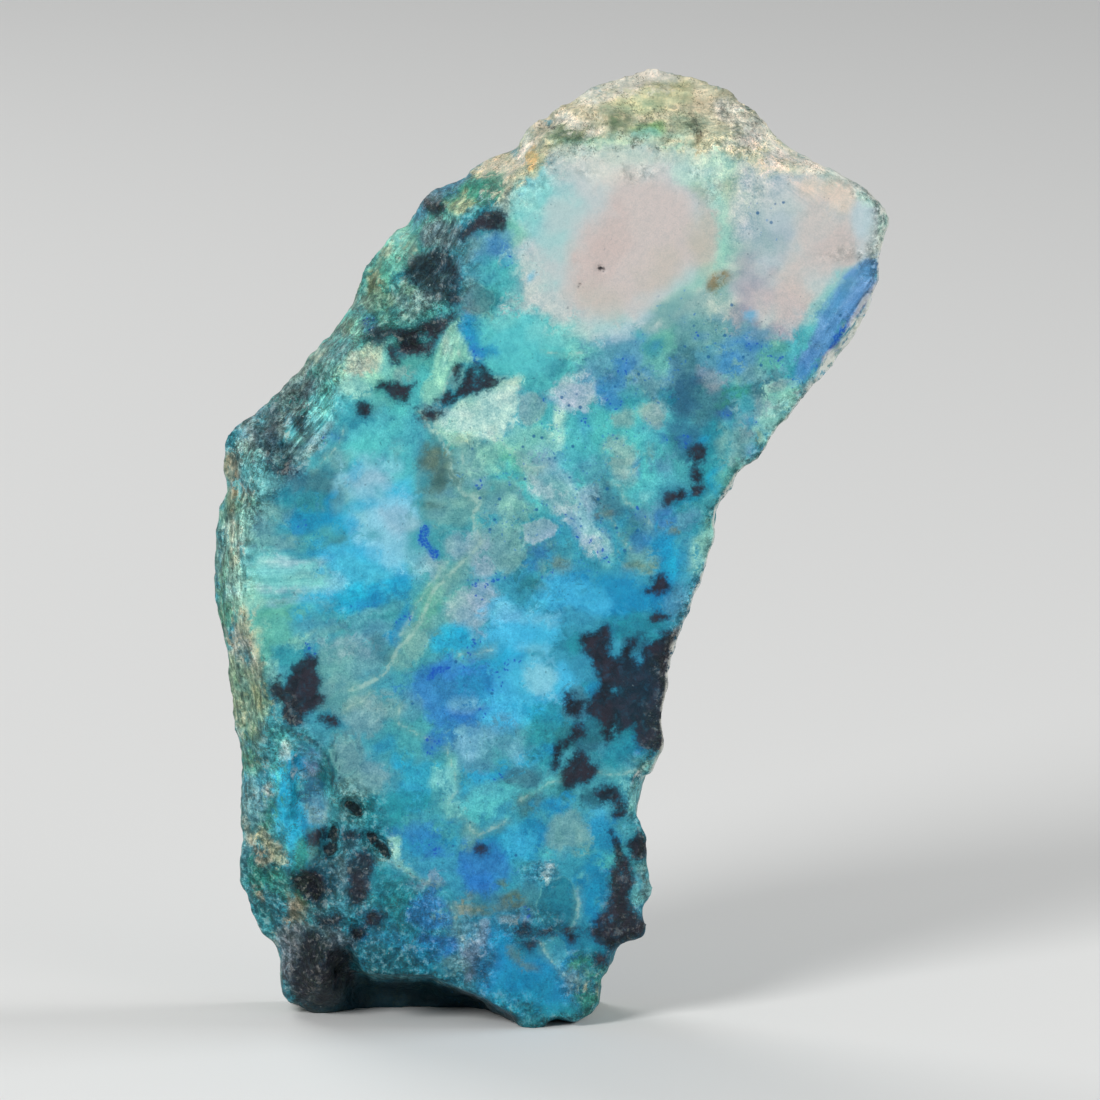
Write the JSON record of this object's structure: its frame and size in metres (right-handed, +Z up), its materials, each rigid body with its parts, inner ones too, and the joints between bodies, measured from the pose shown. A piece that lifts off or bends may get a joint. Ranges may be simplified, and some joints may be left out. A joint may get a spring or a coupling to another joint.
{
  "type": "chrysocolla slab",
  "caption": "Free-form upright mineral slab, polished on its broad face, with a rough natural rind round its edge and a flat cut base.",
  "frame": {"origin": "middle of the base of the bounding box, on the surface that the slab stands on", "axes": "+Z up along the slab's length, -Y out of the polished face, +X to the right of a person who looks at that face"},
  "size_m": [0.0983, 0.022, 0.14],
  "materials": {
    "mineral": "polished blue-green face, rough natural rind"
  },
  "bodies": {
    "root": {"slab": "mineral"}
  },
  "joints": []
}
